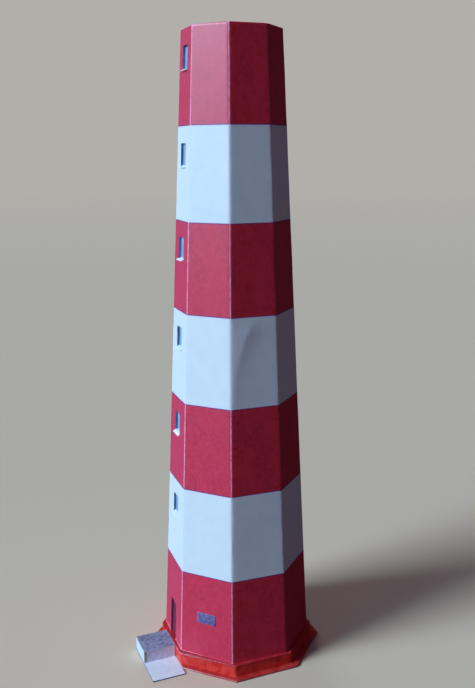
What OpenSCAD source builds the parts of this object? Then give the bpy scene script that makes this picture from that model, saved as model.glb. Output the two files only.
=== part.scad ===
// Card model of an eight-sided lighthouse tower with red and white bands.
// Millimetres. Z is up, the origin is on the tower's axis at the underside of the base plate.
// The face with the door and the windows looks along -Y.

/* [Tower] */
// Number of painted bands, the lowest one is red
band_count = 7; // [3:2:9]
// Height of one band
band_height = 43; // [36:1:60]
// Width of the tower across its flat faces, at the foot of the wall
foot_width = 70; // [60:1:90]
// Width of the tower across its flat faces, at the top of the wall
top_width = 43.5; // [38:0.5:55]
// Thickness of the laminated wall card
wall_thickness = 1.2; // [0.6:0.1:2.5]
// Thickness of the card set into the top of the wall
deck_thickness = 0.8; // [0.3:0.1:2]

/* [Base] */
// How far the base and the doorstep are turned from the tower, in degrees
base_turn = 2.5; // [-4:0.5:4]
// Thickness of the base plate
base_thickness = 1; // [0.6:0.1:3]
// How far the base plate stands out past the plinth
base_ledge = 3.2; // [1:0.2:8]
// How far the base plate is glued off centre, away from the door
base_shift = 0.6; // [-1:0.1:1]
// Height of the plinth, its top card included
plinth_height = 6; // [4:0.5:12]
// How far the plinth stands out past the foot of the wall
plinth_ledge = 1.8; // [1:0.2:6]
// Thickness of the card that makes the side of the plinth
plinth_card = 1; // [0.6:0.1:2]
// Thickness of the card on top of the plinth
plinth_top_thickness = 0.8; // [0.5:0.1:2]

/* [Windows] */
// Width of a window opening
window_width = 7.5; // [4:0.5:9]
// Height of a window opening, measured above its sill
window_height = 10.6; // [6:0.5:16]
// Height of a window's underside above the foot of its band
window_rise = 24.2; // [12:0.2:26]
// Thickness of a window pane
pane_thickness = 0.4; // [0.2:0.1:1]
// Thickness of a sill at its outer edge
sill_thickness = 0.5; // [0.3:0.1:1]
// How far a sill stands out from the wall
sill_reach = 1.2; // [0.5:0.1:2.5]
// How much longer a sill is than its opening, at each end
sill_ear = 0.5; // [0.2:0.1:1]
// Fall of a sill's top, in degrees
sill_fall = 24; // [5:1:35]

/* [Door] */
// Width of the doorway
door_width = 9; // [6:0.5:13]
// Height of the doorway above the plinth
door_height = 19.7; // [14:0.1:28]
// Thickness of the door leaf
leaf_thickness = 0.6; // [0.3:0.1:1.2]

/* [Plaque] */
// Width of the plaque
plaque_width = 10.2; // [6:0.2:16]
// Height of the plaque
plaque_height = 5.6; // [3:0.2:10]
// Height of the plaque's lower edge above the plinth
plaque_rise = 17.7; // [4:0.1:30]
// Thickness of the plaque
plaque_thickness = 0.25; // [0.2:0.05:1]

/* [Doorstep] */
// Width of the doorstep, along the wall
step_width = 15; // [10:0.2:24]
// Depth of the doorstep, out from the plinth
step_depth = 16.6; // [8:0.2:24]
// Place of the doorstep's middle, to the right of the plinth's middle
step_offset = 0.1; // [-3:0.1:3]
// Thickness of the card that makes the doorstep's sides
step_card = 0.6; // [0.3:0.1:1.5]
// Thickness of the doorstep's top
step_top_thickness = 0.5; // [0.3:0.1:1.5]
// Length by which the white card under the doorstep runs on to the right
pad_run = 16.2; // [4:0.2:30]
// Thickness of the white card under the doorstep
pad_thickness = 0.6; // [0.4:0.1:1]
// Margin of the white card beyond the doorstep's left side and front
pad_margin = 0.2; // [0:0.1:3]

/* [Hidden] */
side_count = 8;
side_turn = 360 / side_count;
door_turn = 0;
plaque_turn = side_turn;

// Overlap of a glued card behind the edge of the opening that it closes
glue_margin = 1.5;
// Gap around a card that is set in between others
fit_gap = 0.1;
// Length by which a cutting shape passes the face that it cuts
cut_past = 1;

plinth_foot_z = base_thickness;
wall_foot_z = base_thickness + plinth_height;
wall_height = band_count * band_height;
wall_top_z = wall_foot_z + wall_height;

foot_apothem = foot_width / 2;
top_apothem = top_width / 2;
lean = atan((foot_apothem - top_apothem) / wall_height);
level_thickness = wall_thickness / cos(lean);
plinth_apothem = foot_apothem + plinth_ledge;
base_apothem = plinth_apothem + base_ledge;

// Height that the back edge of the leaning door leaf would reach below its front edge
leaf_dip = (wall_thickness + leaf_thickness) * sin(lean);

step_left = step_offset - step_width / 2;
pad_left = step_left - pad_margin;
pad_length = pad_margin + step_width + pad_run;
pad_depth = step_depth + pad_margin;
step_wall_height = wall_foot_z - pad_thickness - step_top_thickness;
sill_depth = wall_thickness + sill_reach;

// Distance from the axis to the outside of a flat face, at a height above the table
function apothem_at(z) = foot_apothem - (z - wall_foot_z) * tan(lean);

// Height of a band's foot above the table; band 0 is the lowest
function band_foot(band) = wall_foot_z + band * band_height;

// Regular eight-sided outline with a flat face towards -Y
module octagon(apothem) {
    rotate(side_turn / 2)
        circle(r = apothem / cos(side_turn / 2), $fn = side_count);
}

// Solid stretch of the leaning tower, pulled in from the outer faces by an inset
module tower_core(bottom_z, top_z, inset) {
    translate([0, 0, bottom_z])
        linear_extrude(height = top_z - bottom_z,
                       scale = (apothem_at(top_z) - inset) / (apothem_at(bottom_z) - inset))
            octagon(apothem_at(bottom_z) - inset);
}

// Puts children on a wall face: x runs along the face, y goes into the wall, z goes up the face
module on_face(turn, z) {
    rotate(turn)
        translate([0, -apothem_at(z), z])
            rotate([-lean, 0, 0])
                children();
}

// Cutting block for an opening through the wall, from a drop below the local origin
module opening(width, height, drop = 0) {
    translate([-width / 2, -cut_past, -drop])
        cube([width, wall_thickness + 2 * cut_past, height + drop]);
}

// Hollow eight-sided stretch of wall with the opening that its band has
module wall_band(band) {
    bottom_z = band_foot(band);
    difference() {
        tower_core(bottom_z, bottom_z + band_height, 0);
        tower_core(bottom_z - cut_past, bottom_z + band_height + cut_past, level_thickness);
        if (band == 0)
            on_face(door_turn, wall_foot_z)
                opening(door_width, door_height, cut_past);
        else
            on_face(door_turn, bottom_z + window_rise)
                opening(window_width, window_height + sill_thickness);
    }
}

module red_band(band) {
    color("crimson") wall_band(band);
}

module white_band(band) {
    color("aliceblue") wall_band(band);
}

// Pale blue card glued behind a window opening
module window_pane(band) {
    color("lightsteelblue")
        on_face(door_turn, band_foot(band) + window_rise)
            translate([-window_width / 2 - glue_margin, wall_thickness, -glue_margin])
                cube([
                    window_width + 2 * glue_margin,
                    pane_thickness,
                    window_height + sill_thickness + 2 * glue_margin
                ]);
}

// Side view of a sill from a distance outside the pane: flat below and falling outwards on top
module sill_profile(start) {
    start_height = sill_thickness + (sill_depth - start) * tan(sill_fall);
    polygon([
        [start, 0],
        [sill_depth, 0],
        [sill_depth, sill_thickness],
        [start, start_height]
    ]);
}

// Stretch of sill that is centred on the opening
module sill_strip(length, start) {
    translate([length / 2, wall_thickness, 0])
        rotate([90, 0, -90])
            linear_extrude(height = length)
                sill_profile(start);
}

// White sill: a tongue in the opening and a longer lip outside the wall
module window_sill(band) {
    color("white")
        on_face(door_turn, band_foot(band) + window_rise)
            union() {
                sill_strip(window_width, 0);
                sill_strip(window_width + 2 * sill_ear, wall_thickness);
            }
}

// Puts children in front of the plinth: x runs along its face, y comes up to the face
module at_plinth_front(left, depth, z) {
    rotate(base_turn)
        translate([left, -plinth_apothem - depth, z])
            children();
}

// Eight-sided plate that is notched where the white card lies
module base_plate() {
    color("orangered")
        difference() {
            rotate(base_turn)
                translate([0, base_shift, 0])
                    linear_extrude(height = base_thickness)
                        octagon(base_apothem);
            at_plinth_front(pad_left, pad_depth, -cut_past)
                cube([pad_length, pad_depth, base_thickness + 2 * cut_past]);
        }
}

// White card on the table, in front of the plinth
module landing_card() {
    color("white")
        at_plinth_front(pad_left, pad_depth, 0)
            cube([pad_length, pad_depth, pad_thickness]);
}

module plinth_side() {
    color("orangered")
        translate([0, 0, plinth_foot_z])
            rotate(base_turn)
                linear_extrude(height = plinth_height - plinth_top_thickness)
                    difference() {
                        octagon(plinth_apothem);
                        octagon(plinth_apothem - plinth_card);
                    }
}

module plinth_top() {
    color("firebrick")
        translate([0, 0, wall_foot_z - plinth_top_thickness])
            rotate(base_turn)
                linear_extrude(height = plinth_top_thickness)
                    octagon(plinth_apothem);
}

module door_leaf() {
    color("indianred")
        on_face(door_turn, wall_foot_z)
            translate([-door_width / 2 - glue_margin, wall_thickness, leaf_dip])
                cube([door_width + 2 * glue_margin, leaf_thickness, door_height + glue_margin - leaf_dip]);
}

module wall_plaque() {
    color("slategray")
        on_face(plaque_turn, wall_foot_z + plaque_rise)
            translate([-plaque_width / 2, -plaque_thickness, 0])
                cube([plaque_width, plaque_thickness, plaque_height]);
}

// Folded strip: the four sides of the doorstep
module doorstep_sides() {
    color("lightgray")
        at_plinth_front(step_left, step_depth, pad_thickness)
            linear_extrude(height = step_wall_height)
                difference() {
                    square([step_width, step_depth]);
                    translate([step_card, step_card])
                        square([step_width - 2 * step_card, step_depth - 2 * step_card]);
                }
}

module doorstep_top() {
    color("slategray")
        at_plinth_front(step_left, step_depth, wall_foot_z - step_top_thickness)
            cube([step_width, step_depth, step_top_thickness]);
}

// Flat card set into the top of the wall, level with its cut edge
module top_deck() {
    color("white")
        translate([0, 0, wall_top_z - deck_thickness])
            linear_extrude(height = deck_thickness)
                octagon(top_apothem - level_thickness - fit_gap);
}

base_plate();
landing_card();
plinth_side();
plinth_top();
red_band(0);  // wall_band_1
white_band(1);  // wall_band_2
red_band(2);  // wall_band_3
white_band(3);  // wall_band_4
red_band(4);  // wall_band_5
white_band(5);  // wall_band_6
red_band(6);  // wall_band_7
window_pane(1);  // window_pane_2
window_pane(2);  // window_pane_3
window_pane(3);  // window_pane_4
window_pane(4);  // window_pane_5
window_pane(5);  // window_pane_6
window_pane(6);  // window_pane_7
window_sill(1);  // window_sill_2
window_sill(2);  // window_sill_3
window_sill(3);  // window_sill_4
window_sill(4);  // window_sill_5
window_sill(5);  // window_sill_6
window_sill(6);  // window_sill_7
door_leaf();
wall_plaque();
doorstep_sides();
doorstep_top();
top_deck();
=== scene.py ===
import math

import bpy
from mathutils import Matrix, Vector, noise


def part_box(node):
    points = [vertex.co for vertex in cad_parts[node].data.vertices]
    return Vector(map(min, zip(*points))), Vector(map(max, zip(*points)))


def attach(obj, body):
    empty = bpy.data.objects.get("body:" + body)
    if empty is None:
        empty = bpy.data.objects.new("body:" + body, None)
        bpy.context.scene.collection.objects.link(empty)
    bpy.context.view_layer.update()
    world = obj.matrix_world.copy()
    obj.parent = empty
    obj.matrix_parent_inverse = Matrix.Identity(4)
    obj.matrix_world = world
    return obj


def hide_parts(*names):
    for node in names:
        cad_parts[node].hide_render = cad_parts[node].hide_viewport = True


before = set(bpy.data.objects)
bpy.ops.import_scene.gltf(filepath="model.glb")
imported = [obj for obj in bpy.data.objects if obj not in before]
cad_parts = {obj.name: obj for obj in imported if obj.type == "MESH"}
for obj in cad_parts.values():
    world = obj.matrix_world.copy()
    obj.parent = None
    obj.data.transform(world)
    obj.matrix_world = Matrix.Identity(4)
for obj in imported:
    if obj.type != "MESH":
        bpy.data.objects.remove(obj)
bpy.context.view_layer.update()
mm = 0.001
body = "root"


sideCount = 8
sideAngle = math.radians(360 / sideCount)
halfAngle = sideAngle / 2
doorFace = 0  # faces are counted anticlockwise from the one with the door
plaqueFace = 1
rightFace = 2
baseTurn = math.radians(2.5)  # the base stands a little askew under the tower


def boxInMm(node):
    low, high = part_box(node)
    return low / mm, high / mm


bandNames = sorted(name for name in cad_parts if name.startswith("wall_band_"))
bandCount = len(bandNames)
footZ = boxInMm(bandNames[0])[0].z
topZ = boxInMm(bandNames[-1])[1].z
footApothem = boxInMm(bandNames[0])[1].y
lastBandLow, lastBandHigh = boxInMm(bandNames[-1])
lean = math.atan((footApothem - lastBandHigh.y) / (lastBandLow.z - footZ))


def apothemAt(z):
    return footApothem - (z - footZ) * math.tan(lean)


def faceAxes(face):
    angle = math.radians(-90) + face * sideAngle
    outward = Vector((math.cos(angle), math.sin(angle), 0))
    along = Vector((-math.sin(angle), math.cos(angle), 0))
    return outward, along


def facePlace(face):
    # x runs along the face, y goes into the wall, z goes up the face from the foot of the wall
    turn = Matrix.Rotation(face * sideAngle, 4, "Z")
    shift = Matrix.Translation((0, -apothemAt(footZ), footZ))
    return turn @ shift @ Matrix.Rotation(-lean, 4, "X")


basePlace = Matrix.Rotation(baseTurn, 4, "Z")


def boxAlong(node, place):
    back = place.inverted()
    corners = [back @ (vertex.co / mm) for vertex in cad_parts[node].data.vertices]
    low = Vector([min(corner[i] for corner in corners) for i in range(3)])
    high = Vector([max(corner[i] for corner in corners) for i in range(3)])
    return low, high


def evenly(start, end, count):
    return [start + (end - start) * i / count for i in range(count + 1)]


def spread(start, end, count):
    return evenly(start, end, count)[:-1]


def smooth(value, low, high):
    part = min(max((value - low) / (high - low), 0), 1)
    return part * part * (3 - 2 * part)


def ripple(point, length, seed=0.0):
    return noise.noise(Vector(point) / length + Vector((seed, seed * 0.7, -seed)))


def addMark(mesh, name, values):
    mesh.attributes.new(name, "FLOAT", "POINT").data.foreach_set("value", values)


sharpAngle = math.radians(35)


def makePiece(name, points, faces, finishes, faceFinish=None, marks=None):
    mesh = bpy.data.meshes.new(name)
    mesh.from_pydata([Vector(point) * mm for point in points], [], faces)
    for finish in finishes:
        mesh.materials.append(finish)
    if faceFinish:
        mesh.polygons.foreach_set("material_index", faceFinish)
    for markName, values in (marks or {}).items():
        addMark(mesh, markName, values)
    mesh.shade_smooth()
    mesh.set_sharp_from_angle(angle=sharpAngle)
    piece = bpy.data.objects.new(name, mesh)
    bpy.context.scene.collection.objects.link(piece)
    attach(piece, body)
    return piece


def feed(finish, socket, value):
    if isinstance(value, bpy.types.NodeSocket):
        finish.node_tree.links.new(value, socket)
    elif socket.type == "RGBA" and len(value) == 3:
        socket.default_value = (*value, 1)
    else:
        socket.default_value = value


def addNode(finish, kind, inputs, **settings):
    node = finish.node_tree.nodes.new("ShaderNode" + kind)
    for key, value in settings.items():
        setattr(node, key, value)
    for key, value in inputs.items():
        feed(finish, node.inputs[key], value)
    return node


def newFinish(name):
    finish = bpy.data.materials.new(name)
    finish.use_nodes = True
    finish.node_tree.nodes.clear()
    shader = addNode(finish, "BsdfPrincipled", {})
    addNode(finish, "OutputMaterial", {"Surface": shader.outputs[0]})
    return finish, shader


def placeInMm(finish, stretch=(1, 1, 1)):
    place = addNode(finish, "TexCoord", {}).outputs["Object"]
    scale = tuple(1 / mm * part for part in stretch)
    return addNode(finish, "VectorMath", {0: place, 1: scale}, operation="MULTIPLY").outputs[0]


def cloud(finish, size, detail, stretch=(1, 1, 1), low=0.36, high=0.64):
    # soft blotches of a size in millimetres, spread between 0 and 1
    place = placeInMm(finish, stretch)
    texture = addNode(finish, "TexNoise", {"Vector": place, "Scale": 1 / size, "Detail": detail})
    return fit(finish, texture.outputs[0], low, high, 0, 1)


def fit(finish, value, low, high, newLow, newHigh):
    inputs = {"Value": value, 1: low, 2: high, 3: newLow, 4: newHigh}
    return addNode(finish, "MapRange", inputs).outputs[0]


def sums(finish, operation, first, second):
    return addNode(finish, "Math", {0: first, 1: second}, operation=operation).outputs[0]


def times(finish, first, second):
    return sums(finish, "MULTIPLY", first, second)


def mixed(finish, factor, first, second):
    node = addNode(finish, "Mix", {0: factor, 6: first, 7: second}, data_type="RGBA")
    return node.outputs[2]


def tinted(finish, colour, cover, share, ink):
    # lays an ink over a colour, as far as cover and share say
    return mixed(finish, times(finish, cover, share), colour, ink)


def mark(finish, name):
    return addNode(finish, "Attribute", {}, attribute_name=name).outputs["Fac"]


def addRelief(finish, shader, heights):
    # heights is a list of (height value, depth in millimetres), laid over each other
    normal = None
    for height, depth in heights:
        inputs = {"Height": height, "Distance": depth * mm, "Strength": 1.0}
        if normal:
            inputs["Normal"] = normal
        normal = addNode(finish, "Bump", inputs).outputs[0]
    feed(finish, shader.inputs["Normal"], normal)


def dressed(finish, shader, colour, roughness, heights):
    feed(finish, shader.inputs["Base Color"], colour)
    feed(finish, shader.inputs["Roughness"], roughness)
    addRelief(finish, shader, heights)
    return finish


redInk = {
    "deep": (0.57, 0.005, 0.016),
    "warm": (0.77, 0.014, 0.030),
    "pink": (0.82, 0.034, 0.095),
    # paintedLight is the paler, pinker ink painted on the lit faces, as painted light
    "paintedLight": (1.0, 0.125, 0.26),
    "cracked": (0.94, 0.42, 0.56),
    "overlap": (0.20, 0.035, 0.19),
    "roughness": (0.36, 0.44),
    "specular": 0.68,
    "sheen": 0.20,
}
whiteInk = {
    "deep": (0.78, 0.80, 0.83),
    "warm": (0.88, 0.885, 0.89),
    "pink": (0.84, 0.82, 0.86),
    # paintedLight is the ink painted on the lit faces, as painted light
    "paintedLight": (0.88, 0.88, 0.89),
    "cracked": (0.72, 0.74, 0.80),
    "overlap": (0.80, 0.70, 0.88),
    "roughness": (0.38, 0.50),
    "specular": 0.5,
    "sheen": 0.0,
}
# a cloud is given by its size, detail and stretch, and by the values it spreads between;
# sizes are in millimetres, and shares run from 0 to 1
printing = {
    "broad": (7.0, 3),
    "blotch": (2.0, 4, (1, 1, 1), 0.26, 0.74),
    "pinkShare": 0.90,
    "weave": (0.55, 3, (0.5, 0.5, 1), 0.30, 0.70),
    "weaveShare": 0.30,
    "grain": (0.34, 2),
    "grainShare": 0.25,
    "overlap": (0.30, 0.58),  # the overlap is full inside the first distance and gone at the second
    "overlapShare": 0.9,
    "ragged": (0.55, 3, (1, 1, 0.55)),
    "dash": (0.9, 2, (1, 1, 0.30), 0.30, 0.56),
    "dashShare": (0.50, 1.0),
    "crackReach": 0.42,
    "crackShare": (0.45, 1.0),  # how much of that reach the cracks take, from place to place
    "crackEdge": (-0.14, 0.10),
    "cutShare": (0.2, 1.0),
    "cutEdge": (-0.08, 0.05),
    "cutOnset": (0.02, 0.15),  # wear at which a cut edge starts to show, and shows in full
    "cutFull": 0.9,
    "bareRoughness": 0.8,
    "sheenRoughness": 0.4,
    "sheenTint": (1.0, 0.62, 0.85, 1),
    "grainDepth": 0.006,
    "blotchDepth": 0.012,
    "bareDepth": 0.03,
}


def printedWall(name, ink):
    finish, shader = newFinish(name)
    broad = cloud(finish, *printing["broad"])
    blotch = cloud(finish, *printing["blotch"])
    grain = cloud(finish, *printing["grain"])
    colour = mixed(finish, broad, ink["deep"], ink["warm"])
    colour = tinted(finish, colour, blotch, printing["pinkShare"], ink["pink"])
    # painted light: the ink is painted paler and pinker on the faces the lamp lights
    colour = mixed(finish, mark(finish, "paintedLight"), colour, ink["paintedLight"])
    weave = cloud(finish, *printing["weave"])
    colour = tinted(finish, colour, weave, printing["weaveShare"], ink["deep"])
    colour = tinted(finish, colour, grain, printing["grainShare"], ink["deep"])
    # the ink of the two sheets laps over at each joint
    joint = fit(finish, mark(finish, "jointDist"), *printing["overlap"], printing["overlapShare"], 0)
    colour = mixed(finish, joint, colour, ink["overlap"])
    # ink that has cracked off along the folds, in dashes, and along the cut edges
    ragged = cloud(finish, *printing["ragged"])
    dashes = cloud(finish, *printing["dash"])
    foldWear = mark(finish, "foldWear")
    foldReach = times(finish, foldWear, printing["crackReach"])
    reach = times(finish, fit(finish, ragged, 0, 1, *printing["crackShare"]), foldReach)
    crackDist = sums(finish, "SUBTRACT", mark(finish, "foldDist"), reach)
    crack = fit(finish, crackDist, *printing["crackEdge"], 1, 0)
    crack = times(finish, crack, foldWear)
    crack = times(finish, crack, fit(finish, dashes, 0, 1, *printing["dashShare"]))
    cutWear = mark(finish, "cutWear")
    cutReach = times(finish, fit(finish, ragged, 0, 1, *printing["cutShare"]), cutWear)
    cutDist = sums(finish, "SUBTRACT", mark(finish, "cutDist"), cutReach)
    cut = fit(finish, cutDist, *printing["cutEdge"], 1, 0)
    cut = times(finish, cut, fit(finish, cutWear, *printing["cutOnset"], 0, printing["cutFull"]))
    bare = sums(finish, "MAXIMUM", crack, cut)
    colour = mixed(finish, bare, colour, ink["cracked"])
    satin = fit(finish, blotch, 0, 1, *ink["roughness"])
    satin = sums(finish, "MAXIMUM", satin, times(finish, bare, printing["bareRoughness"]))
    shader.inputs["Sheen Weight"].default_value = ink["sheen"]
    shader.inputs["Sheen Roughness"].default_value = printing["sheenRoughness"]
    shader.inputs["Sheen Tint"].default_value = printing["sheenTint"]
    shader.inputs["Specular IOR Level"].default_value = ink["specular"]
    return dressed(finish, shader, colour, satin, [
        (grain, printing["grainDepth"]),
        (blotch, printing["blotchDepth"]),
        (bare, printing["bareDepth"]),
    ])


cardStock = {
    "broad": 8,  # size of the broad tone, in fibre sizes
    "fibreStretch": (1, 1, 2.2),
    "fibreShare": 0.35,
    # where the painted edge shade is full and where it ends, in millimetres from the cut
    "edge": (0.02, 0.14),
    "roughness": (0.55, 0.75),
    "depth": 0.02,
}


def cardFinish(name, dark, light, fibre, edge=None):
    # bare or painted card with fibres, for cut edges and small pieces
    finish, shader = newFinish(name)
    broad = cloud(finish, fibre * cardStock["broad"], 3)
    fibres = cloud(finish, fibre, 3, cardStock["fibreStretch"])
    colour = mixed(finish, broad, dark, light)
    colour = tinted(finish, colour, fibres, cardStock["fibreShare"], dark)
    # painted shade: a given edge colour is painted along the cut edges, as the shade there
    if edge:
        edgeShade = fit(finish, mark(finish, "cutDist"), *cardStock["edge"], 1, 0)
        colour = mixed(finish, edgeShade, colour, edge)
    rough = fit(finish, fibres, 0, 1, *cardStock["roughness"])
    return dressed(finish, shader, colour, rough, [(fibres, cardStock["depth"]), (broad, cardStock["depth"])])


brushWork = {
    "stroke": (0.35, 3, (0.22, 0.22, 1.6)),
    "strokeShare": 0.28,
    "strokeDepth": 0.05,
    "pool": (3.2, 3),
    "poolDepth": 0.10,
    "grain": (0.3, 2),
    "grainDepth": 0.008,
    "ragged": (0.6, 3),
    "rimEdge": (-0.10, 0.05),
    "rimShare": 0.9,
    "rimOnset": (0.05, 0.30),  # wear at which bare card starts to show at a rim, and shows in full
    "gloss": (0.30, 0.50),
    "bareRoughness": 0.75,
}


def brushedPaint(name, dark, light, bare):
    # thick paint laid on along the edge with a small brush, with card showing at the rim
    finish, shader = newFinish(name)
    strokes = cloud(finish, *brushWork["stroke"])
    pools = cloud(finish, *brushWork["pool"])
    grain = cloud(finish, *brushWork["grain"])
    colour = mixed(finish, pools, dark, light)
    colour = tinted(finish, colour, strokes, brushWork["strokeShare"], dark)
    ragged = cloud(finish, *brushWork["ragged"])
    cutWear = mark(finish, "cutWear")
    reach = times(finish, ragged, cutWear)
    rimDist = sums(finish, "SUBTRACT", mark(finish, "cutDist"), reach)
    rim = fit(finish, rimDist, *brushWork["rimEdge"], brushWork["rimShare"], 0)
    rim = times(finish, rim, fit(finish, cutWear, *brushWork["rimOnset"], 0, 1))
    colour = mixed(finish, rim, colour, bare)
    gloss = fit(finish, pools, 0, 1, *brushWork["gloss"])
    gloss = sums(finish, "MAXIMUM", gloss, times(finish, rim, brushWork["bareRoughness"]))
    return dressed(finish, shader, colour, gloss, [
        (strokes, brushWork["strokeDepth"]),
        (pools, brushWork["poolDepth"]),
        (grain, brushWork["grainDepth"]),
    ])


redPrint = printedWall("redPrint", redInk)
whitePrint = printedWall("whitePrint", whiteInk)
# painted shade: the inside and underside of the wall card are painted dark blue-grey, as shade, while the lit
# top rim gets the pale card colour
shadedCutCard = cardFinish("shadedCutCard", (0.20, 0.21, 0.30), (0.40, 0.40, 0.48), fibre=0.25)
rimCard = cardFinish("rimCard", (0.62, 0.52, 0.55), (0.85, 0.78, 0.80), fibre=0.25)
# painted shade: the reveals of the windows and the door are painted dark, as the shade inside the openings
windowRevealShade = cardFinish("windowRevealShade", (0.105, 0.145, 0.27), (0.21, 0.26, 0.41), fibre=0.3)
doorRevealShade = cardFinish("doorRevealShade", (0.20, 0.030, 0.060), (0.26, 0.070, 0.15), fibre=0.3)
sillCard = cardFinish("sillCard", (0.78, 0.79, 0.84), (0.92, 0.92, 0.94), fibre=0.3)
deckCard = cardFinish("deckCard", (0.74, 0.74, 0.75), (0.86, 0.86, 0.86), fibre=0.5)
# painted shade: the landing card's cut edges are painted dark blue, as shade
padCard = cardFinish("padCard", (0.86, 0.86, 0.97), (0.95, 0.95, 1.0), fibre=0.45, edge=(0.22, 0.17, 0.40))
plinthPaint = brushedPaint("plinthPaint", (0.74, 0.020, 0.017), (0.92, 0.062, 0.036), (0.84, 0.34, 0.40))
lidPaint = brushedPaint("lidPaint", (0.50, 0.017, 0.026), (0.64, 0.034, 0.050), (0.86, 0.34, 0.48))
basePaint = brushedPaint("basePaint", (0.55, 0.022, 0.022), (0.72, 0.055, 0.045), (0.84, 0.40, 0.42))
print("finishes made")


wall = {
    "thickness": boxAlong("window_pane_2", facePlace(doorFace))[0].y,
    "glueMargin": 1.5,  # how far a pane or the leaf laps behind its opening
    "rowHeight": 1.1,
    "nearestRow": 0.45,  # rows this close to an opening's edge are left out, in row heights
    "flatCells": 18,
    "sideCells": 7,
    "openingCells": 4,
    "foldCells": 4,
    "foldRadius": [1.3, 2.3, 1.3, 1.5, 1.6, 1.5, 1.4, 1.5],
    "foldRadiusChange": 0.7,  # a hand fold is tighter in some places
    "longWave": 9,
    "shortWave": 3,
    "shortShare": 0.6,
    "innerRadius": 0.2,
    "ripple": 0.06,
    "rippleLength": 20,
    "rippleBack": 0.4,  # keeps the ripples inside the flat wall
    "foldWear": [1.0, 0.88, 0.35, 0.55, 0.6, 0.75, 0.55, 0.8],  # by fold, anticlockwise from the door
    "paintedLight": [0.50, 0.27, 0, 0, 0, 0, 0, 0.20],  # by face, painted light: how much paler and pinker the ink is painted where the lamp falls
    "rimWear": [0.55, 0.28, 0, 0, 0.20, 0.25, 0.25, 0.35],  # by face, at the top
    "footWear": [0.70, 0.45, 0, 0, 0.15, 0.15, 0.20, 0.40],  # by face, at the foot
    "wearFade": (0.1, 0.65),  # part of the plaque's face over which the wear fades away
    "rimRound": 0.22,
    "rimBack": 0.4,
    "rimRow": 0.3,  # height of the extra row in the rounded rim, as a part of rimBack
    "notchFold": 2,
    "notchDepth": 0.8,
    "notchHalf": 0.8,
}
farAway = 99  # a distance that no edge mark reaches
# a soft diagonal buckle on the fourth band, next to the second fold
buckle = {
    "face": rightFace,
    "band": 4,
    "foot": 1.6,
    "spread": 10.4,
    "power": 2.2,
    "slope": 0.050,
    "fade": 9.0,
    "fullAbove": 0.12,
    "fullBelow": 0.8,
}


def foldRadiusAt(fold, z):
    fold = fold % sideCount
    # each fold takes its own stretch of the noise
    change = ripple((fold * 17, 0, z), wall["longWave"])
    change += wall["shortShare"] * ripple((fold * 31, 5, z), wall["shortWave"])
    return wall["foldRadius"][fold] + wall["foldRadiusChange"] * change


def buckleAt(fromFold, z):
    low, high = boxInMm(bandNames[buckle["band"] - 1])
    part = (z - low.z) / (high.z - low.z)
    if not 0 < part < 1:
        return 0
    ridge = buckle["foot"] + buckle["spread"] * part ** buckle["power"]
    if fromFold < ridge:
        height = fromFold / ridge
    else:
        height = max(0, 1 - (fromFold - ridge) / buckle["fade"]) ** 2
    ends = smooth(part, 0, buckle["fullAbove"]) * smooth(part, 1, buckle["fullBelow"])
    return buckle["slope"] * ridge * height * ends


def wallLoop(z, level, openingHalf, outer):
    # one closed row of wall points, with the distance to the nearest fold and how worn that fold is
    apothem = apothemAt(z) - level
    reach = math.tan(halfAngle)
    row = []
    for face in range(sideCount):
        leftRadius = foldRadiusAt(face - 1, z) if outer else wall["innerRadius"]
        rightRadius = foldRadiusAt(face, z) if outer else wall["innerRadius"]
        left = -(apothem - leftRadius) * reach
        right = (apothem - rightRadius) * reach
        outward, along = faceAxes(face)
        if face == doorFace:
            places = spread(left, -openingHalf, wall["sideCells"])
            places += spread(-openingHalf, openingHalf, wall["openingCells"])
            places += spread(openingHalf, right, wall["sideCells"])
        else:
            places = spread(left, right, wall["flatCells"])
        for u in places + [right]:
            fromLeft = u - left + leftRadius * halfAngle
            fromRight = right - u + rightRadius * halfAngle
            push = buckleAt(fromLeft, z) if outer and face == buckle["face"] else 0
            wear = wall["foldWear"][(face - 1) % sideCount if fromLeft < fromRight else face]
            point = outward * (apothem + push) + along * u
            row.append([point, outward, min(fromLeft, fromRight), wear, face, u])
        centre = outward * (apothem - rightRadius) + along * right
        for cell in range(1, wall["foldCells"]):
            angle = math.atan2(outward.y, outward.x) + sideAngle * cell / wall["foldCells"]
            direction = Vector((math.cos(angle), math.sin(angle), 0))
            point = centre + direction * rightRadius
            away = abs(cell / wall["foldCells"] - 0.5) * sideAngle * rightRadius
            row.append([point, direction, away, wall["foldWear"][face], face, None])
    for spot in row:
        spot[0].z = z
        if outer:
            wave = ripple(spot[0], wall["rippleLength"]) - wall["rippleBack"]
            spot[0] += spot[1] * wall["ripple"] * wave
    return row


def edgeWearAt(wears, face, u):
    # on the plaque's face the wear fades away from the fold beside the door
    wear = wears[face]
    if face == plaqueFace and u is not None:
        half = footApothem * math.tan(halfAngle)
        wear *= 1 - smooth((u + half) / (2 * half), *wall["wearFade"])
    return wear


def wallRows(bottom, top, stops):
    count = round((top - bottom) / wall["rowHeight"])
    rows = spread(bottom, top, count)
    near = wall["rowHeight"] * wall["nearestRow"]
    rows = [z for z in rows if z == bottom or all(abs(z - stop) > near for stop in stops)]
    return sorted(rows + stops + [top])


def bandOpening(band):
    # half width, underside and top of the opening in a band
    place = facePlace(doorFace)
    margin = wall["glueMargin"]
    if band == 1:
        low, high = boxAlong("door_leaf", place)
        return high.x - margin, footZ, footZ + (high.z - margin) * math.cos(lean)
    low, high = boxAlong(f"window_pane_{band}", place)
    foot = boxAlong(f"window_sill_{band}", place)[0].z
    return high.x - margin, footZ + foot * math.cos(lean), footZ + (high.z - margin) * math.cos(lean)


printFinish, shadedCutFinish, rimFinish, revealShadeFinish = range(4)  # places of the finishes on a band


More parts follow.
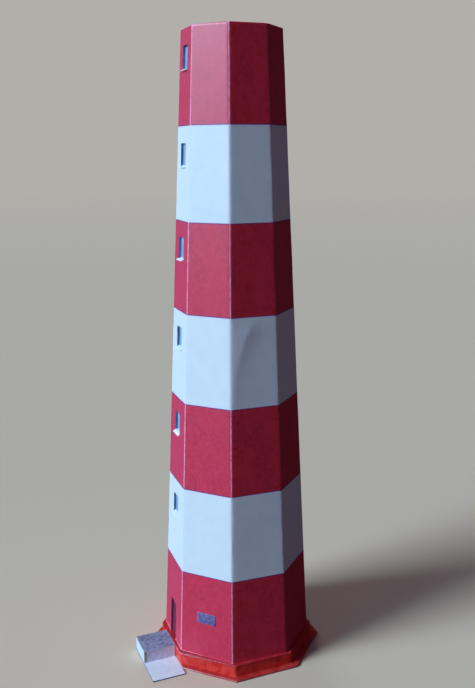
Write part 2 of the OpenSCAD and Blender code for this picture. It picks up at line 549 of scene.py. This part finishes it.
def makeBand(band):
    low, high = boxInMm(f"wall_band_{band}")
    bottom, top = low.z, high.z
    openingHalf, openingFoot, openingTop = bandOpening(band)
    stops = [openingTop] if band == 1 else [openingFoot, openingTop]
    if band == bandCount:
        stops += [top - wall["rimBack"], top - wall["rimBack"] * wall["rimRow"]]
    rows = wallRows(bottom, top, stops)
    level = wall["thickness"] / math.cos(lean)
    outerRows = [wallLoop(z, 0, openingHalf, True) for z in rows]
    innerRows = [wallLoop(z, level, openingHalf, False) for z in rows]
    width = len(outerRows[0])
    firstRow, lastRow = rows.index(openingFoot), rows.index(openingTop)
    inDoorFace = [i for i, spot in enumerate(outerRows[0]) if spot[4] == doorFace and spot[5] is not None]
    firstColumn = inDoorFace[wall["sideCells"]]
    lastColumn = firstColumn + wall["openingCells"]

    points, foldDist, foldWear, jointDist, cutDist, cutWear, paintedLight = [], [], [], [], [], [], []
    for shell in (outerRows, innerRows):
        for z, row in zip(rows, shell):
            toJoint = min(z - bottom if band > 1 else farAway, top - z if band < bandCount else farAway)
            for point, direction, away, wear, face, u in row:
                edge, edgeWear = farAway, 0
                if band == 1:
                    edge, edgeWear = z - bottom, edgeWearAt(wall["footWear"], face, u)
                if band == bandCount:
                    edge, edgeWear = top - z, edgeWearAt(wall["rimWear"], face, u)
                if band == bandCount and shell is outerRows:
                    inward = wall["rimRound"] * smooth(z, top - wall["rimBack"], top) ** 2
                    point = point - direction * inward
                    beside = face in (wall["notchFold"], wall["notchFold"] + 1)
                    if beside and z == top and wear == wall["foldWear"][wall["notchFold"]]:
                        point.z -= wall["notchDepth"] * max(0, 1 - away / wall["notchHalf"])
                points.append(point)
                foldDist.append(away)
                foldWear.append(wear)
                jointDist.append(toJoint)
                cutDist.append(edge)
                cutWear.append(edgeWear)
                paintedLight.append(wall["paintedLight"][face])

    def outerAt(row, column):
        return row * width + column % width

    def innerAt(row, column):
        return len(rows) * width + row * width + column % width

    faces, finishIndex = [], []
    last = len(rows) - 1

    def addFace(corners, index):
        faces.append(corners)
        finishIndex.append(index)

    for i in range(last):
        for j in range(width):
            if firstRow <= i < lastRow and firstColumn <= j < lastColumn:
                continue
            outside = (outerAt(i, j), outerAt(i, j + 1), outerAt(i + 1, j + 1), outerAt(i + 1, j))
            inside = (innerAt(i, j), innerAt(i + 1, j), innerAt(i + 1, j + 1), innerAt(i, j + 1))
            addFace(outside, printFinish)
            addFace(inside, shadedCutFinish)
    for j in range(width):
        upper = (outerAt(last, j), outerAt(last, j + 1), innerAt(last, j + 1), innerAt(last, j))
        addFace(upper, rimFinish)
        if not (band == 1 and firstColumn <= j < lastColumn):
            lower = (outerAt(0, j), innerAt(0, j), innerAt(0, j + 1), outerAt(0, j + 1))
            addFace(lower, shadedCutFinish)
    for j in range(firstColumn, lastColumn):
        head = (
            outerAt(lastRow, j + 1), outerAt(lastRow, j),
            innerAt(lastRow, j), innerAt(lastRow, j + 1),
        )
        addFace(head, revealShadeFinish)
        if band > 1:
            foot = (
                outerAt(firstRow, j), outerAt(firstRow, j + 1),
                innerAt(firstRow, j + 1), innerAt(firstRow, j),
            )
            addFace(foot, revealShadeFinish)
    for i in range(firstRow, lastRow):
        j = firstColumn
        addFace((outerAt(i, j), innerAt(i, j), innerAt(i + 1, j), outerAt(i + 1, j)), revealShadeFinish)
        j = lastColumn
        addFace((outerAt(i, j), outerAt(i + 1, j), innerAt(i + 1, j), innerAt(i, j)), revealShadeFinish)

    isRed = band % 2 == 1
    marks = {
        "foldDist": foldDist,
        "foldWear": foldWear,
        "jointDist": jointDist,
        "cutDist": cutDist,
        "cutWear": cutWear,
        "paintedLight": paintedLight,
    }
    # the reveals take card painted dark as the shade in the openings
    reveal = doorRevealShade if band == 1 else windowRevealShade
    finishes = [redPrint if isRed else whitePrint, shadedCutCard, rimCard, reveal]
    piece = makePiece(f"wallBand{band}", points, faces, finishes, finishIndex, marks)
    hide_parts(f"wall_band_{band}")


for band in range(1, bandCount + 1):
    makeBand(band)
print("wall bands made:", bandCount)


sheet = {"jitter": 0.02, "jitterLength": 2.5, "soften": 0.06, "wear": 0.25}


def cardSheet(name, place, low, high, finish, cells, bend=None, jitter=sheet["jitter"], seed=1.0):
    # a flat piece of card in place's axes: its two faces are at low.y and high.y, and bend moves both
    columns, rows = cells
    us = evenly(low.x, high.x, columns)
    vs = evenly(low.z, high.z, rows)
    points, edgeDist = [], []
    for side in (low.y, high.y):
        for v in vs:
            for u in us:
                fromEdge = min(u - low.x, high.x - u, v - low.z, high.z - v)
                pull = sheet["soften"] if fromEdge == 0 else 0
                shift = bend(u, v) if bend else 0
                wobble = jitter * ripple((u, v, seed), sheet["jitterLength"], seed)
                y = side + shift + (pull * 0.5 if side == low.y else -pull * 0.5)
                inset = (pull + wobble) if fromEdge == 0 else 0
                uIn = u + inset if u == low.x else (u - inset if u == high.x else u)
                vIn = v + inset if v == low.z else (v - inset if v == high.z else v)
                points.append(place @ Vector((uIn, y, vIn)))
                edgeDist.append(fromEdge)
    across = columns + 1
    back = across * (rows + 1)
    faces = []
    for i in range(rows):
        for j in range(columns):
            a = i * across + j
            faces.append((a, a + 1, a + across + 1, a + across))
            faces.append((back + a, back + a + across, back + a + across + 1, back + a + 1))
    for j in range(columns):
        faces.append((j, back + j, back + j + 1, j + 1))
        top = rows * across + j
        faces.append((top, top + 1, back + top + 1, back + top))
    for i in range(rows):
        left = i * across
        faces.append((left, left + across, back + left + across, back + left))
        right = i * across + columns
        faces.append((right, back + right, back + right + across, right + across))
    marks = {"cutDist": edgeDist, "cutWear": [sheet["wear"]] * len(points)}
    return makePiece(name, points, faces, [finish], None, marks)


pane = {
    "top": (0.36, 0.51, 0.68),
    "bottom": (0.22, 0.36, 0.58),
    "bow": 0.12,
    "bandStep": 2.3,  # makes the bow differ from band to band
    "streak": (1.1, 3, (1, 1, 0.3)),
    "streakShare": 0.35,
    "grain": (0.25, 2),
    "grainShare": 0.15,
    "roughness": (0.30, 0.45),
}


def paneFinish():
    finish, shader = newFinish("paneBlue")
    height = mark(finish, "paneHeight")
    streak = cloud(finish, *pane["streak"])
    grain = cloud(finish, *pane["grain"])
    colour = mixed(finish, height, pane["bottom"], pane["top"])
    colour = tinted(finish, colour, streak, pane["streakShare"], pane["bottom"])
    colour = tinted(finish, colour, grain, pane["grainShare"], pane["top"])
    rough = fit(finish, streak, 0, 1, *pane["roughness"])
    return dressed(finish, shader, colour, rough, [(grain, 0.004), (streak, 0.01)])


paneBlue = paneFinish()
for band in range(2, bandCount + 1):
    place = facePlace(doorFace)
    low, high = boxAlong(f"window_pane_{band}", place)

    def paneBend(u, v, low=low, high=high, band=band):
        across = (u - low.x) / (high.x - low.x)
        up = (v - low.z) / (high.z - low.z)
        swell = 0.5 + 0.5 * math.sin(band * pane["bandStep"])
        return pane["bow"] * math.sin(across * math.pi) * math.sin(up * math.pi) * swell

    piece = cardSheet(f"windowPane{band}", place, low, high, paneBlue, (10, 12), paneBend, seed=band)
    heights = [(place.inverted() @ (vertex.co / mm)).z for vertex in piece.data.vertices]
    addMark(piece.data, "paneHeight", [(z - low.z) / (high.z - low.z) for z in heights])
    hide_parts(f"window_pane_{band}")
print("panes made")


sill = {
    "wobble": 0.05,
    "cells": 12,
    "tongueCells": 4,
    "soft": 0.08,
    "endTaper": 0.04,
    # by band: fall in degrees, reach past the wall, outer edge thickness
    2: (26, 0.70, 0.42),
    3: (36, 1.00, 0.45),
    4: (24, 0.70, 0.50),
    5: (20, 1.20, 0.45),
    6: (25, 0.60, 0.40),
    7: (23, 1.05, 0.30),
}


def makeSill(band):
    place = facePlace(doorFace)
    low, high = boxAlong(f"window_sill_{band}", place)
    fall, reach, edge = sill[band]
    openingHalf = bandOpening(band)[0]
    thickness = wall["thickness"]
    slope = math.tan(math.radians(fall))

    atWall = edge + slope * reach
    atPane = min(edge + slope * (reach + thickness), high.z - low.z)
    soft = sill["soft"]
    lip = [
        (-reach + soft, 0), (-reach, soft), (-reach, edge - soft), (-reach + soft, edge + soft * slope),
        (-reach * 0.5, edge + slope * reach * 0.5), (0, atWall), (0, 0),
    ]
    tongue = [(0, 0), (0, atWall), (thickness, atPane), (thickness, 0)]
    points, faces = [], []

    def strip(outline, left, right, cells):
        start = len(points)
        for i in range(cells + 1):
            x = left + (right - left) * i / cells
            for y, z in outline:
                shift = sill["wobble"] * ripple((x, band * 5, z), 2.2, band) if y < 0 else 0
                end = sill["endTaper"] if i in (0, cells) and z > 0 and y < 0 else 0
                points.append(place @ Vector((x, y + shift + end, low.z + z + shift * (z > 0) - end)))
        size = len(outline)
        for i in range(cells):
            for j in range(size):
                a = start + i * size + j
                b = start + i * size + (j + 1) % size
                faces.append((a, b, b + size, a + size))
        faces.append(tuple(start + j for j in reversed(range(size))))
        faces.append(tuple(start + cells * size + j for j in range(size)))

    strip(lip, low.x, high.x, sill["cells"])
    strip(tongue, -openingHalf, openingHalf, sill["tongueCells"])
    piece = makePiece(f"windowSill{band}", points, faces, [sillCard])
    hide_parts(f"window_sill_{band}")


for band in range(2, bandCount + 1):
    makeSill(band)
print("sills made")


door = {
    # painted shade: the leaf's print is painted dark, as the shade inside the door's recess
    "dark": (0.17, 0.022, 0.050),
    "light": (0.29, 0.042, 0.080),
    "seam": (0.07, 0.015, 0.03),
    "seamShare": 0.7,
    "seamEdge": 0.8,
    "board": 1.9,
    "groove": 0.05,
    "streak": (0.5, 3, (1, 1, 0.2)),
    "grain": (0.3, 2),
    "roughness": (0.42, 0.6),
    "cells": (48, 12),
}


def doorShadedFinish():
    finish, shader = newFinish("doorShadedPrint")
    streak = cloud(finish, *door["streak"])
    grain = cloud(finish, *door["grain"])
    colour = mixed(finish, streak, door["dark"], door["light"])
    seam = mark(finish, "boardSeam")
    colour = tinted(finish, colour, seam, door["seamShare"], door["seam"])
    rough = fit(finish, streak, 0, 1, *door["roughness"])
    return dressed(finish, shader, colour, rough, [(grain, 0.006), (streak, 0.01)])


def seamAt(u):
    # 1 on the line between two boards, 0 on the board
    part = abs((u / door["board"]) % 1 - 0.5) * 2
    return smooth(part, door["seamEdge"], 1)


def doorGrooves(u, v):
    return door["groove"] * seamAt(u)


doorPlace = facePlace(doorFace)
low, high = boxAlong("door_leaf", doorPlace)
leaf = cardSheet("doorLeaf", doorPlace, low, high, doorShadedFinish(), door["cells"], doorGrooves)
seams = [seamAt((doorPlace.inverted() @ (vertex.co / mm)).x) for vertex in leaf.data.vertices]
addMark(leaf.data, "boardSeam", seams)
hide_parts("door_leaf")
print("door made")


plaque = {
    "dark": (0.075, 0.040, 0.165),
    "light": (0.26, 0.19, 0.38),
    "mottle": (-0.30, 0.65),
    "edge": (0.42, 0.30, 0.54),
    "rim": (0.10, 0.36),
    "rimShare": 0.7,
    "blotch": (1.0, 3),
    "hatch": (0.55, 2, (1.6, 1.6, 0.5), 0.30, 0.70),
    "hatchShare": 0.3,
    # how much lighter the print is painted towards the left and the top, as painted shade
    "paintedLightLeft": 0.35,
    "paintedLightUp": 0.3,
    "roughness": (0.4, 0.55),
    "curl": 0.05,
    "curlBack": 0.4,
    "cells": (24, 14),
    "jitter": 0.05,
}


def plaqueFinish():
    finish, shader = newFinish("plaquePrint")
    blotch = cloud(finish, *plaque["blotch"])
    hatch = cloud(finish, *plaque["hatch"])
    # mottle, plus painted shade that is lighter at the upper left and darker at the lower right
    paintedLight = sums(finish, "ADD", fit(finish, blotch, 0, 1, *plaque["mottle"]), mark(finish, "paintedLight"))
    colour = mixed(finish, paintedLight, plaque["dark"], plaque["light"])
    colour = tinted(finish, colour, hatch, plaque["hatchShare"], plaque["light"])
    rim = fit(finish, mark(finish, "paleRim"), *plaque["rim"], plaque["rimShare"], 0)
    colour = mixed(finish, rim, colour, plaque["edge"])
    rough = fit(finish, blotch, 0, 1, *plaque["roughness"])
    return dressed(finish, shader, colour, rough, [(hatch, 0.008), (blotch, 0.01)])


plaquePlace = facePlace(plaqueFace)
low, high = boxAlong("wall_plaque", plaquePlace)


def plaqueBend(u, v):
    corner = smooth(u, (low.x + high.x) / 2, high.x) * smooth(v, high.z, low.z)
    return plaque["curl"] * (plaque["curlBack"] - corner)


def plaquePaintedLight(spot):
    # painted shade: the print is painted lighter towards its upper left corner and darker towards the lower
    # right
    left = (high.x - spot.x) / (high.x - low.x)
    up = (spot.z - low.z) / (high.z - low.z)
    return plaque["paintedLightLeft"] * left + plaque["paintedLightUp"] * up


card = cardSheet(
    "wallPlaque", plaquePlace, low, high, plaqueFinish(),
    plaque["cells"], plaqueBend, plaque["jitter"], seed=4,
)
plaqueSpots = [plaquePlace.inverted() @ (vertex.co / mm) for vertex in card.data.vertices]
# pale on the left and at the top only
paleRim = [min(spot.x - low.x, high.z - spot.z) for spot in plaqueSpots]
addMark(card.data, "paleRim", paleRim)
addMark(card.data, "paintedLight", [plaquePaintedLight(spot) for spot in plaqueSpots])
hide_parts("wall_plaque")
print("plaque made")


def octagonFit(node):
    # apothem and middle of a turned eight-sided card, in the axes of the base
    low, high = boxInMm(node)
    half = (high.x - low.x) / 2
    apothem = half * math.cos(halfAngle) / math.cos(halfAngle - baseTurn)
    centre = basePlace.inverted() @ Vector((low.x + half, high.y - half, 0))
    return apothem, centre


def octagonCorners(apothem, centre):
    radius = apothem / math.cos(halfAngle)
    angles = [math.radians(-90) + (i + 0.5) * sideAngle for i in range(sideCount)]
    return [centre + Vector((radius * math.cos(angle), radius * math.sin(angle), 0)) for angle in angles]


def roundedLoop(corners, settings):
    # anticlockwise outline with rounded corners, as (point, outward direction, pin);
    # the pin says where a ring further in than the rounding has its corner
    radius, cells = settings["cornerRadius"], settings["cornerCells"]
    loop = []
    count = len(corners)
    for i, corner in enumerate(corners):
        before = (corner - corners[i - 1]).normalized()
        after = (corners[(i + 1) % count] - corner).normalized()
        turn = math.atan2(before.cross(after).z, before.dot(after))
        back = radius * abs(math.tan(turn / 2))
        side = 1 if turn > 0 else -1
        startNormal = Vector((before.y, -before.x, 0)) * side
        centre = corner - before * back - startNormal * radius
        middle = Matrix.Rotation(turn / 2, 3, "Z") @ startNormal
        pin = (centre, middle / math.cos(turn / 2), radius) if turn > 0 else None
        for j in range(cells + 1):
            spin = Matrix.Rotation(turn * j / cells, 3, "Z")
            direction = spin @ startNormal
            loop.append([centre + direction * radius, direction * side, pin])
        nextCorner = corners[(i + 1) % count]
        nextAfter = (corners[(i + 2) % count] - nextCorner).normalized()
        nextTurn = math.atan2(after.cross(nextAfter).z, after.dot(nextAfter))
        start = corner + after * back
        end = nextCorner - after * radius * abs(math.tan(nextTurn / 2))
        inner = max(1, round((end - start).length / settings["pointStep"]))
        normal = Vector((after.y, -after.x, 0))
        for j in range(1, inner):
            loop.append([start + (end - start) * (j / inner), normal, None])
    return loop


pinSpread = 0.02  # keeps the points that share a corner apart


def insetSpot(spot, inset):
    point, direction, pin = spot
    if pin and inset > pin[2]:
        centre, middle, radius = pin
        return centre - middle * (inset - radius) + direction * pinSpread
    return point - direction * inset


bulgeBack = 0.6  # keeps the bulges inside the flat side


def bulgeAt(settings, point, z):
    length, stretch, seed = settings["bulgeShape"]
    wave = ripple((point.x, point.y, z * stretch), length, seed)
    return settings["bulge"] * (wave - bulgeBack)


def ringWall(name, loop, low, high, finish, settings):
    # a closed strip of card standing on its edge, whose outer face bulges softly; it has no worn edges
    width = len(loop)
    heights = evenly(low.z, high.z, settings["rows"])
    points = []
    for shell in (0, settings["card"]):
        for z in heights:
            for item in loop:
                push = bulgeAt(settings, item[0], z) if shell == 0 else 0
                spot = insetSpot(item, shell - push)
                points.append(basePlace @ Vector((spot.x, spot.y, z)))
    rows = len(heights)
    faces = []
    for i in range(rows - 1):
        for j in range(width):
            a, b = i * width + j, i * width + (j + 1) % width
            faces.append((a, b, b + width, a + width))
            c, d = a + rows * width, b + rows * width
            faces.append((c, c + width, d + width, d))
    for j in range(width):
        a, b = j, (j + 1) % width
        faces.append((a, a + rows * width, b + rows * width, b))
        c, d = a + (rows - 1) * width, b + (rows - 1) * width
        faces.append((c, d, d + rows * width, c + rows * width))
    return makePiece(name, points, faces, [finish])


jitterLength = 1.7
jitterBack = 0.5  # keeps a jittered edge near its outline


def cutPlate(name, place, loop, bottom, top, finish, settings, wear):
    # a flat plate of card with a softened upper edge, and rings of points inside it
    width = len(loop)
    soften = settings["soften"]
    levels = [(bottom, 0), (top - soften, 0), (top, soften)] + [(top, ring) for ring in settings["rings"]]
    points, cutDist, cutWear = [], [], []
    for z, inset in levels:
        for item in loop:
            wave = ripple(item[0], jitterLength, top) - jitterBack
            wobble = settings["jitter"] * wave * (1 if inset <= soften else 0)
            spot = place @ insetSpot(item, inset - wobble)
            points.append(Vector((spot.x, spot.y, z)))
            cutDist.append(0 if z < top else inset)
        cutWear += wear
    faces = []
    for i in range(len(levels) - 1):
        for j in range(width):
            a, b = i * width + j, i * width + (j + 1) % width
            faces.append((a, b, b + width, a + width))
    faces.append(tuple(reversed(range(width))))
    faces.append(tuple(range((len(levels) - 1) * width, len(levels) * width)))
    return makePiece(name, points, faces, [finish], None, {"cutDist": cutDist, "cutWear": cutWear})


plinth = {
    "cornerRadius": 2.2,
    "cornerCells": 6,
    "pointStep": 1.6,
    "card": 1.0,
    "bulge": 0.12,
    "bulgeShape": (5.0, 3, 2),  # length, stretch of z, seed
    "rows": 6,
    "soften": 0.3,
    "rings": [0.9, 2.4, 5.0],
    "jitter": 0.12,
    "wear": (0.20, 0.02),  # at the front, elsewhere
    "frontStart": (-106, -90),  # angles over which the worn front begins
    "frontEnd": (-42, -66),
}
plinthCorners = octagonCorners(*octagonFit("plinth_side"))
plinthLoop = roundedLoop(plinthCorners, plinth)
low, high = boxInMm("plinth_side")
side = ringWall("plinthSide", plinthLoop, low, high, plinthPaint, plinth)
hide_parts("plinth_side")
low, high = boxInMm("plinth_top")


def wornFront(point, most, least):
    # the paint is thinnest beside the doorstep and thickens to the right; the far sides are well covered
    angle = math.degrees(math.atan2(point.y, point.x))
    front = smooth(angle, *plinth["frontStart"]) * smooth(angle, *plinth["frontEnd"])
    return least + (most - least) * front


plinthWear = [wornFront(spot[0], *plinth["wear"]) for spot in plinthLoop]
lid = cutPlate("plinthTop", basePlace, plinthLoop, low.z, high.z, lidPaint, plinth, plinthWear)
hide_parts("plinth_top")


plate = {
    "cornerRadius": 0.15,
    "cornerCells": 2,
    "pointStep": 1.6,
    "soften": 0.15,
    "rings": [0.8],
    "jitter": 0.10,
    "wear": (0.34, 0.14),  # at the front, elsewhere
}
padLow, padHigh = boxAlong("landing_card", basePlace)
corners = octagonCorners(*octagonFit("base_plate"))
frontLeft, frontRight = corners[-1], corners[0]
slant = (corners[1] - frontRight).normalized()
meet = frontRight + slant * ((padHigh.y - frontRight.y) / slant.y)
notched = [
    Vector((padLow.x, frontLeft.y, 0)),
    Vector((padLow.x, padHigh.y, 0)),
    Vector((meet.x, padHigh.y, 0)),
] + corners[1:]
plateLoop = roundedLoop(notched, plate)
plateWear = [wornFront(spot[0], *plate["wear"]) for spot in plateLoop]
low, high = boxInMm("base_plate")
base = cutPlate("basePlate", basePlace, plateLoop, low.z, high.z, basePaint, plate, plateWear)
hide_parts("base_plate")
print("plinth and base made")


step = {
    "cornerRadius": 0.35,
    "cornerCells": 4,
    "pointStep": 0.9,
    "rows": 6,
    "bulge": 0.05,
    "bulgeShape": (6.0, 1, 3),  # length, stretch of z, seed
    "card": 0.6,
    "sideSkin": 0.4,  # how near the right side a point counts as lying on it
    "beyond": 9,  # a distance outside every printed edge
    "slack": 0.1,
    "topBlotch": (1.6, 3),
    "topRoughness": (0.45, 0.6),
    "hatchTurn": 38,
    "hatchWave": {"Scale": 0.85, "Distortion": 2.6, "Detail": 3.0, "Detail Scale": 1.6},
    "hatchRange": (0.2, 0.8),
    "hatchShare": 0.45,
    "rim": (0.05, 0.2),
    "rimShare": 0.5,
    "sideBlotch": (1.3, 3),
    "sideRoughness": (0.5, 0.7),
    "fibre": (0.35, 3, (1, 1, 0.4)),
    "fibreShare": 0.3,
    "printFade": 0.4,
    "oliveShare": 0.85,
    "bareShare": 0.9,
    "frontGrey": (0.74, 0.76, 0.78),
    "topDark": (0.135, 0.133, 0.212),
    "topLight": (0.37, 0.355, 0.52),
    "sideDark": (0.66, 0.60, 0.74),
    "sideLight": (0.90, 0.85, 0.95),
    "olive": (0.30, 0.29, 0.17),
    "oliveWidth": 1.2,
    "bareWidth": 1.5,
    "white": (0.84, 0.85, 0.87),
}


def stepTopFinish():
    finish, shader = newFinish("stepSlate")
    blotch = cloud(finish, *step["topBlotch"])
    rotation = (0, 0, math.radians(step["hatchTurn"]))
    turned = addNode(finish, "Mapping", {"Vector": placeInMm(finish), "Rotation": rotation})
    lines = addNode(finish, "TexWave", {"Vector": turned.outputs[0], **step["hatchWave"]})
    hatch = fit(finish, lines.outputs[1], *step["hatchRange"], 0, 1)
    colour = mixed(finish, blotch, step["topDark"], step["topLight"])
    colour = tinted(finish, colour, hatch, step["hatchShare"], step["topLight"])
    rim = fit(finish, mark(finish, "cutDist"), *step["rim"], step["rimShare"], 0)
    colour = mixed(finish, rim, colour, step["white"])
    rough = fit(finish, blotch, 0, 1, *step["topRoughness"])
    return dressed(finish, shader, colour, rough, [(hatch, 0.008), (blotch, 0.015)])


def stepSideFinish():
    # print that stops short of the corners: olive at the outer corner, bare card at the plinth
    finish, shader = newFinish("stepSide")
    blotch = cloud(finish, *step["sideBlotch"])
    fibres = cloud(finish, *step["fibre"])
    colour = mixed(finish, blotch, step["sideDark"], step["sideLight"])
    colour = tinted(finish, colour, fibres, step["fibreShare"], step["sideDark"])
    oliveEnd = step["oliveWidth"] + step["printFade"]
    outer = fit(finish, mark(finish, "alongSide"), step["oliveWidth"], oliveEnd, step["oliveShare"], 0)
    colour = mixed(finish, outer, colour, step["olive"])
    bareEnd = step["bareWidth"] + step["printFade"]
    inner = fit(finish, mark(finish, "fromPlinth"), step["bareWidth"], bareEnd, step["bareShare"], 0)
    colour = mixed(finish, inner, colour, step["white"])
    plain = mixed(finish, blotch, step["frontGrey"], step["white"])
    colour = mixed(finish, mark(finish, "frontSide"), colour, plain)
    rough = fit(finish, fibres, 0, 1, *step["sideRoughness"])
    return dressed(finish, shader, colour, rough, [(fibres, 0.01), (blotch, 0.015)])


low, high = boxAlong("doorstep_sides", basePlace)
stepCorners = [
    Vector((low.x, low.y, 0)),
    Vector((high.x, low.y, 0)),
    Vector((high.x, high.y, 0)),
    Vector((low.x, high.y, 0)),
]
stepLoop = roundedLoop(stepCorners, step)
block = ringWall("doorstepSides", stepLoop, low, high, stepSideFinish(), step)
alongSide, fromPlinth, frontSide = [], [], []
for vertex in block.data.vertices:
    spot = basePlace.inverted() @ (vertex.co / mm)
    onRight = spot.x > high.x - step["card"] - step["slack"]
    alongSide.append(spot.y - low.y if onRight else step["beyond"])
    fromPlinth.append(high.y - spot.y if onRight else step["beyond"])
    frontSide.append(0 if spot.x > high.x - step["sideSkin"] else 1)
addMark(block.data, "alongSide", alongSide)
addMark(block.data, "fromPlinth", fromPlinth)
addMark(block.data, "frontSide", frontSide)
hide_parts("doorstep_sides")


# lays a card down: its x stays, its thickness runs up and its height runs back
flatPlace = basePlace @ Matrix(((1, 0, 0, 0), (0, 0, 1, 0), (0, -1, 0, 0), (0, 0, 0, 1)))
flatCard = {"jitter": 0.06, "treadCells": (16, 16), "padCells": (34, 18)}


def layCard(name, node, finish, cells, seed):
    low, high = boxAlong(node, flatPlace)
    return cardSheet(name, flatPlace, low, high, finish, cells, jitter=flatCard["jitter"], seed=seed)


tread = layCard("doorstepTop", "doorstep_top", stepTopFinish(), flatCard["treadCells"], 6)
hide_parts("doorstep_top")
pad = layCard("landingCard", "landing_card", padCard, flatCard["padCells"], 7)
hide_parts("landing_card")

deckSizes = {
    "cornerRadius": 0.2,
    "cornerCells": 2,
    "pointStep": 1.6,
    "soften": 0.12,
    "rings": [1.0, 3.0],
    "jitter": 0.05,
    "wear": 0.1,
}
low, high = boxInMm("top_deck")
deckCorners = octagonCorners(high.y, Vector((0, 0, 0)))
deckLoop = roundedLoop(deckCorners, deckSizes)
deckWear = [deckSizes["wear"]] * len(deckLoop)
deck = cutPlate("topDeck", Matrix.Identity(4), deckLoop, low.z, high.z, deckCard, deckSizes, deckWear)
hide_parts("top_deck")
print("doorstep and deck made")


stage = {
    "floorRadius": 6.0,
    "floorCorners": 96,
    "floorFade": (1.2, 5.0),  # distances over which the floor fades into the backdrop
    "floorColour": (0.850, 0.623, 0.466),
    "floorBounce": (0.19, 0.11, 0.095),
    "distance": (0.445, 0.429, 0.402),
    "ambient": (0.066, 0.051, 0.090),
    "reflected": (0.010, 0.006, 0.008),  # the dark side of the room, as satin surfaces show it
}


def stageFloor():
    bpy.ops.mesh.primitive_circle_add(
        vertices=stage["floorCorners"], radius=stage["floorRadius"], fill_type="NGON",
    )
    floor = bpy.context.active_object
    floor.name = "floor"
    finish = bpy.data.materials.new("floorPale")
    finish.use_nodes = True
    finish.node_tree.nodes.clear()
    place = addNode(finish, "TexCoord", {}).outputs["Object"]
    away = addNode(finish, "VectorMath", {0: place}, operation="LENGTH").outputs[1]
    fade = fit(finish, away, *stage["floorFade"], 0, 1)
    seen = addNode(finish, "LightPath", {}).outputs["Is Camera Ray"]
    glossy = addNode(finish, "LightPath", {}).outputs["Is Glossy Ray"]
    bounce = mixed(finish, glossy, stage["floorBounce"], stage["reflected"])
    around = mixed(finish, glossy, stage["ambient"], stage["reflected"])
    near = addNode(finish, "BsdfDiffuse", {"Color": mixed(finish, seen, bounce, stage["floorColour"])})
    far = addNode(finish, "Emission", {"Color": mixed(finish, seen, around, stage["distance"])})
    both = addNode(finish, "MixShader", {0: fade, 1: near.outputs[0], 2: far.outputs[0]})
    addNode(finish, "OutputMaterial", {"Surface": both.outputs[0]})
    floor.data.materials.append(finish)


def stageWorld():
    world = bpy.data.worlds.new("studio")
    bpy.context.scene.world = world
    world.use_nodes = True
    tree = world.node_tree
    tree.nodes.clear()
    path = tree.nodes.new("ShaderNodeLightPath")
    colour = None
    for ray, tint in (("Is Glossy Ray", "reflected"), ("Is Camera Ray", "distance")):
        mix = tree.nodes.new("ShaderNodeMix")
        mix.data_type = "RGBA"
        mix.inputs[6].default_value = (*stage["ambient"], 1)
        mix.inputs[7].default_value = (*stage[tint], 1)
        tree.links.new(path.outputs[ray], mix.inputs[0])
        if colour:
            tree.links.new(colour, mix.inputs[6])
        colour = mix.outputs[2]
    background = tree.nodes.new("ShaderNodeBackground")
    tree.links.new(colour, background.inputs["Color"])
    output = tree.nodes.new("ShaderNodeOutputWorld")
    tree.links.new(background.outputs[0], output.inputs["Surface"])


def sunLight(name, azimuth, elevation, colour, strength, angle, shine):
    light = bpy.data.lights.new(name, "SUN")
    light.color = colour
    light.energy = strength
    light.angle = math.radians(angle)
    holder = bpy.data.objects.new(name, light)
    bpy.context.scene.collection.objects.link(holder)
    a, e = math.radians(azimuth), math.radians(elevation)
    towards = Vector((math.cos(a) * math.cos(e), math.sin(a) * math.cos(e), math.sin(e)))
    holder.rotation_mode = "QUATERNION"
    holder.rotation_quaternion = (-towards).to_track_quat("-Z", "Y")
    holder.visible_glossy = shine


# by light: azimuth, elevation, colour, strength, angle, and whether glossy surfaces show it;
# the back light would lay a pale glare on the door's face
lights = {
    "key": (-84.5, 29, (0.566, 0.83, 1.0), 3.8, 24, True),
    "low": (-72, 14, (0.34, 0.58, 1.0), 0.72, 20, True),
    "back": (178, 14, (0.566, 0.83, 1.0), 1.1, 30, False),
}

viewpoint = {
    "place": (379.33, -133.85, 253.63),
    "heading": -70.317,
    "tilt": -13.053,
    "roll": -0.370,
    "lens": 43.53,
    "sensorWidth": 36,
    "nearest": 0.01,
    "furthest": 50,
}


def placeCamera():
    data = bpy.data.cameras.new("camera")
    data.lens = viewpoint["lens"]
    data.sensor_width = viewpoint["sensorWidth"]
    data.clip_start = viewpoint["nearest"]
    data.clip_end = viewpoint["furthest"]
    camera = bpy.data.objects.new("camera", data)
    bpy.context.scene.collection.objects.link(camera)
    heading, tilt, roll = (math.radians(viewpoint[key]) for key in ("heading", "tilt", "roll"))
    forward = Vector((
        math.sin(heading) * math.cos(tilt),
        math.cos(heading) * math.cos(tilt),
        math.sin(tilt),
    ))
    level = Vector((math.cos(heading), -math.sin(heading), 0))
    above = level.cross(forward)
    right = level * math.cos(roll) + above * math.sin(roll)
    up = above * math.cos(roll) - level * math.sin(roll)
    turn = Matrix((right, up, -forward)).transposed().to_4x4()
    camera.matrix_world = Matrix.Translation(Vector(viewpoint["place"]) * mm) @ turn
    bpy.context.scene.camera = camera


stageFloor()
stageWorld()
for name, settings in lights.items():
    sunLight(name, *settings)
placeCamera()
bpy.context.scene.view_settings.view_transform = "Standard"
print("stage made")
